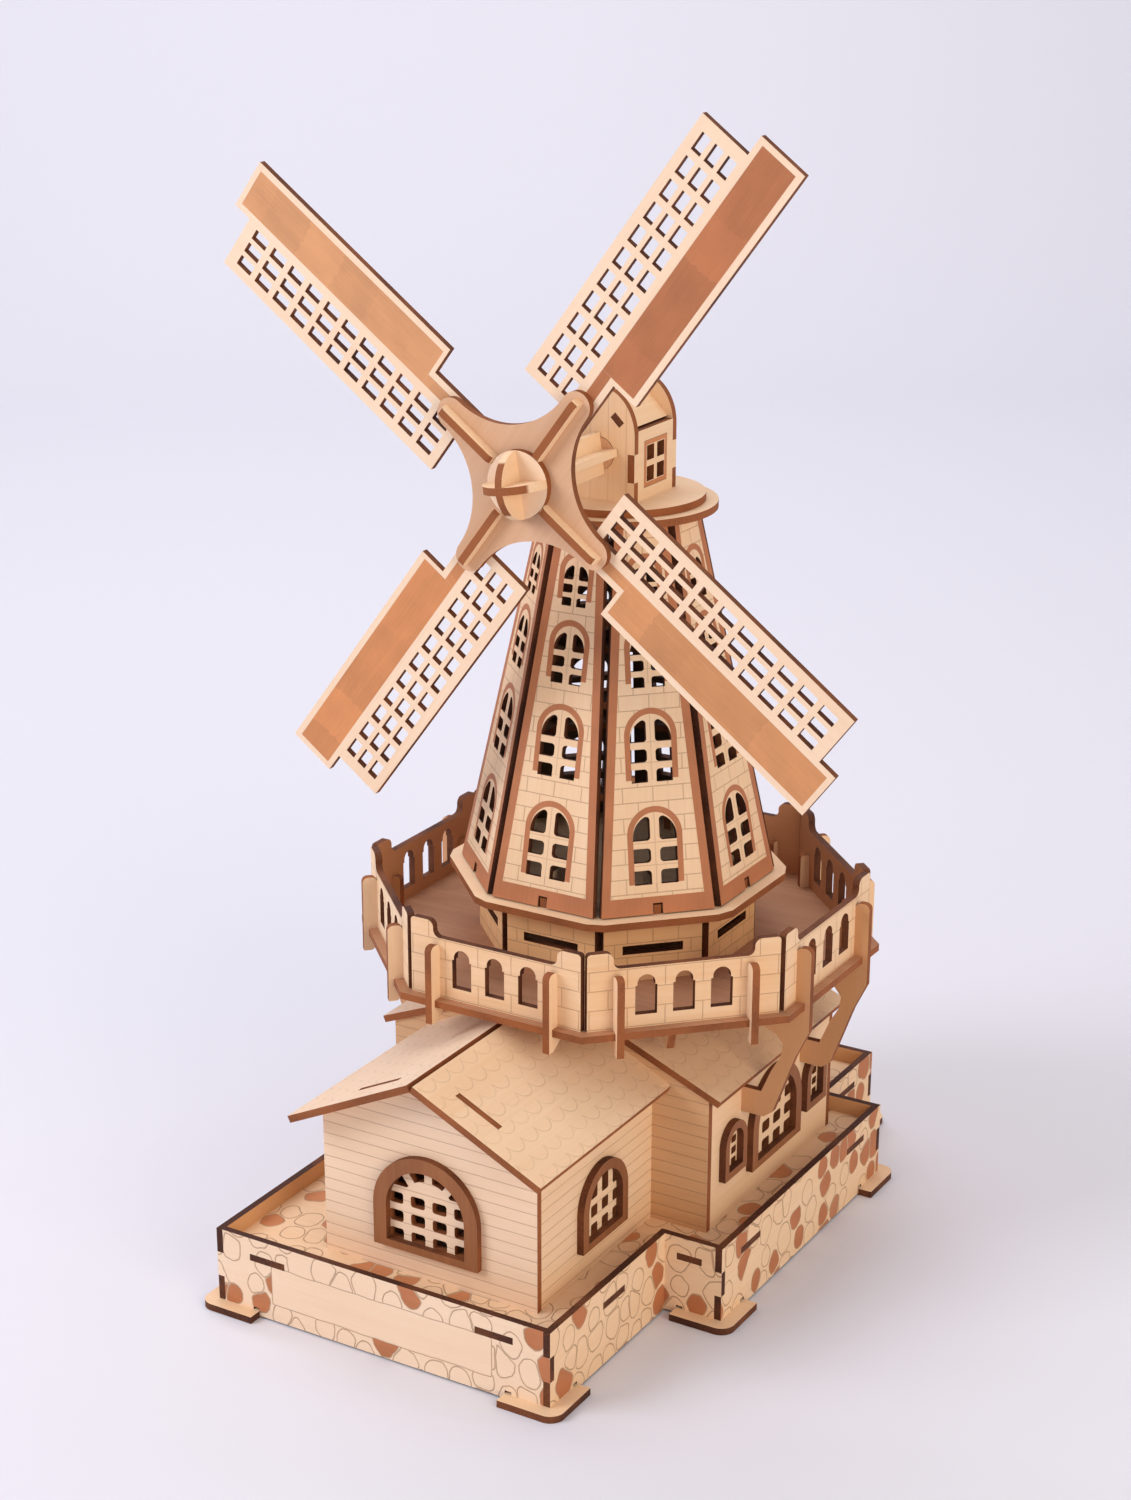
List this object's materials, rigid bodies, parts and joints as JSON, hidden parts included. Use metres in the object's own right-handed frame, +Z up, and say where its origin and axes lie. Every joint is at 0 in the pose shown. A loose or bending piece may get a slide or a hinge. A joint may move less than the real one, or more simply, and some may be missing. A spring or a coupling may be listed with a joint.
{
  "type": "wooden 3d jigsaw model",
  "caption": "Laser-cut plywood windmill kit: walled base, gabled houses, octagonal balcony, tapered tower, turning cap and latticed sails.",
  "frame": {"origin": "on the tower axis at the floor, in the plane of the undersides of the corner feet", "axes": "+Z up along the tower axis, -Y out of the front house gable towards the sails, +X to the right seen from the front"},
  "size_m": [0.2736, 0.2985, 0.4676],
  "materials": {
    "balcony_ply": "matte laser-cut plywood",
    "base_ply": "matte laser-cut plywood",
    "cap_ply": "matte laser-cut plywood",
    "dowel": "matte laser-cut plywood",
    "frame_ply": "matte laser-cut plywood",
    "house_ply": "matte laser-cut plywood",
    "roof_ply": "matte laser-cut plywood",
    "rotor_ply": "matte laser-cut plywood",
    "tower_ply": "matte laser-cut plywood"
  },
  "bodies": {
    "mill": {"balcony_floor": "balcony_ply", "base_left_wall": "base_ply", "base_step_walls": "base_ply", "corner_feet": "base_ply", "deck_plate": "base_ply", "drum_walls": "tower_ply", "floor_support_ribs": "balcony_ply", "front_house_gable": "house_ply", "front_house_side_walls": "house_ply", "front_roof_left": "roof_ply", "front_roof_right": "roof_ply", "front_side_window_frames": "frame_ply", "front_wing_front_wall": "base_ply", "front_wing_side_wall": "base_ply", "gable_window_frames": "frame_ply", "inner_frame_cross": "house_ply", "inner_frame_long": "house_ply", "long_brackets": "balcony_ply", "main_house_front_gable": "house_ply", "main_house_rear_gable": "house_ply", "main_house_side_walls": "house_ply", "main_large_window_frames": "frame_ply", "main_roof_left": "roof_ply", "main_roof_right": "roof_ply", "main_side_wall": "base_ply", "railing_panels": "balcony_ply", "rear_house_gable": "house_ply", "rear_house_side_walls": "house_ply", "rear_roof_left": "roof_ply", "rear_roof_right": "roof_ply", "rear_wing_rear_wall": "base_ply", "rear_wing_side_wall": "base_ply", "short_brackets": "balcony_ply", "small_window_frames": "frame_ply", "tower_foot_ribs": "tower_ply", "tower_ledge": "tower_ply", "tower_panels": "tower_ply", "tower_ring_lower": "tower_ply", "tower_ring_middle": "tower_ply", "tower_ring_upper": "tower_ply", "tower_top_disc": "tower_ply"},
    "cap": {"cap_back_wall": "cap_ply", "cap_base_disc": "cap_ply", "cap_front_wall": "cap_ply", "cap_pivot_pin": "dowel", "cap_pivot_retainer": "cap_ply", "cap_roof_panels": "roof_ply", "cap_side_walls": "cap_ply"},
    "sails": {"hub_back_disc": "rotor_ply", "hub_plate": "rotor_ply", "hub_ribs": "rotor_ply", "nose_disc": "rotor_ply", "sail_four": "rotor_ply", "sail_one": "rotor_ply", "sail_three": "rotor_ply", "sail_two": "rotor_ply", "shaft_end_disc": "rotor_ply", "shaft_journals": "rotor_ply", "shaft_plate_level": "rotor_ply", "shaft_plate_upright": "rotor_ply"}
  },
  "joints": [
    {"name": "cap_yaw", "type": "hinge", "parent": "mill", "child": "cap", "pos_m": [0, 0, 0.3094], "axis": [0, 0, 1], "continuous": true},
    {"name": "sails_spin", "type": "hinge", "parent": "cap", "child": "sails", "pos_m": [0, -0.0724, 0.3308], "axis": [0, -1, 0], "continuous": true}
  ]
}
